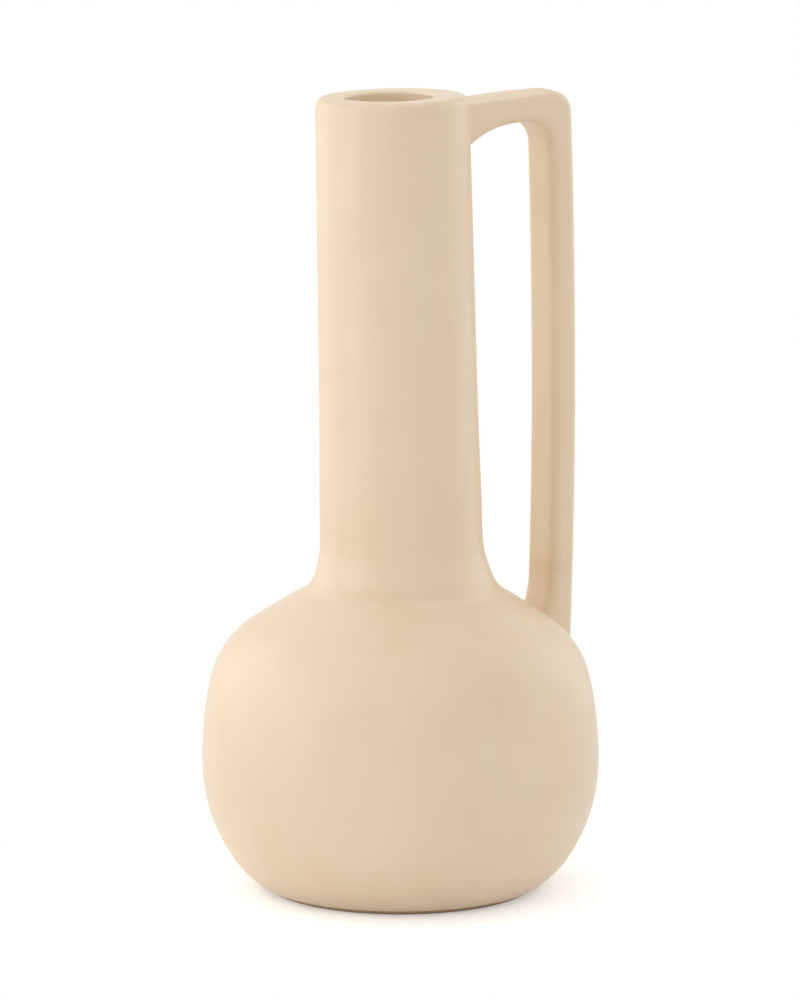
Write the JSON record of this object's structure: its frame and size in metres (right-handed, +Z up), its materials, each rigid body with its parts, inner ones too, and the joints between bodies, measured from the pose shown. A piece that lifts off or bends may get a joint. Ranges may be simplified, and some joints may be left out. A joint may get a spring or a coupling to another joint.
{
  "type": "lekythos",
  "caption": "Squat round-bellied ceramic lekythos with a tall narrow neck, a thick rounded lip and one squared strap handle, for pouring oil or holding stems.",
  "frame": {"origin": "centre of the foot ring's underside, where the vessel stands", "axes": "+Z up; +X towards the handle; the XZ plane is the plane of symmetry, and the neck leans 1.4 degrees towards -X"},
  "size_m": [0.15, 0.15, 0.3006],
  "materials": {
    "cream_glaze": "satin",
    "inner_glaze": "gloss",
    "bare_clay": "matte"
  },
  "bodies": {
    "root": {"foot_ring": "bare_clay", "bowl": "cream_glaze", "shoulder": "cream_glaze", "neck": "cream_glaze", "mouth_rim": "cream_glaze", "handle": "cream_glaze", "glaze_lining": "inner_glaze"}
  },
  "joints": []
}
